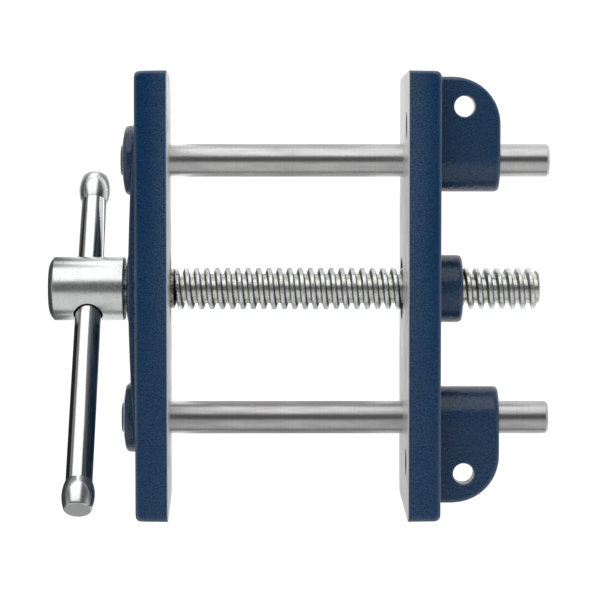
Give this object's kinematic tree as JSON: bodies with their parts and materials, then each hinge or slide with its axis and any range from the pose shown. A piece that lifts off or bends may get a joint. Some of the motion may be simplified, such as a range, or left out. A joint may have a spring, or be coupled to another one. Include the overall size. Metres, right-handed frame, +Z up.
{
  "type": "woodworking vise",
  "caption": "Bench woodworking vise: cast jaws on guide rods, closed by a coarse lead screw with a cross-drilled head and sliding handle bar; bolts under a bench top",
  "frame": {"origin": "midway between the two bench bolts, on the seat faces of the ears", "axes": "+Z up, out of the bench seat; +X away from the operator, along the screw and under the bench; Y along the jaws"},
  "size_m": [0.1919, 0.165, 0.1012],
  "materials": {
    "casting": "painted, gripping faces machined bare",
    "bush": "satin",
    "ground_steel": "ground bright",
    "zinc_steel": "zinc plated",
    "spring_steel": "blackened",
    "plated_steel": "bright plated"
  },
  "bodies": {
    "base": {"rear_jaw": "casting", "screw_nut": "bush"},
    "carriage": {"front_jaw": "casting", "guide_rod_left": "ground_steel", "guide_rod_right": "ground_steel"},
    "screw": {"lead_screw": "zinc_steel", "thrust_washer": "zinc_steel", "retaining_ring": "spring_steel", "screw_head": "plated_steel"},
    "bar": {"handle_bar": "plated_steel", "knob_long": "plated_steel", "knob_short": "plated_steel"}
  },
  "joints": [
    {"name": "jaw_slide", "type": "slide", "parent": "base", "child": "carriage", "axis": [1, 0, 0], "range_m": [-0.0251, 0.0874]},
    {"name": "screw_spin", "type": "hinge", "parent": "carriage", "child": "screw", "pos_m": [-0.1448, 0, -0.016], "axis": [1, 0, 0], "range_deg": [-2250, 7860]},
    {"name": "bar_slide", "type": "slide", "parent": "screw", "child": "bar", "axis": [0, -0.788, 0.6157], "range_m": [-0.0748, 0.0298]}
  ],
  "couplings": [
    {"joint": "jaw_slide", "follows": "screw_spin", "m_per_rad": 0.00063662}
  ]
}
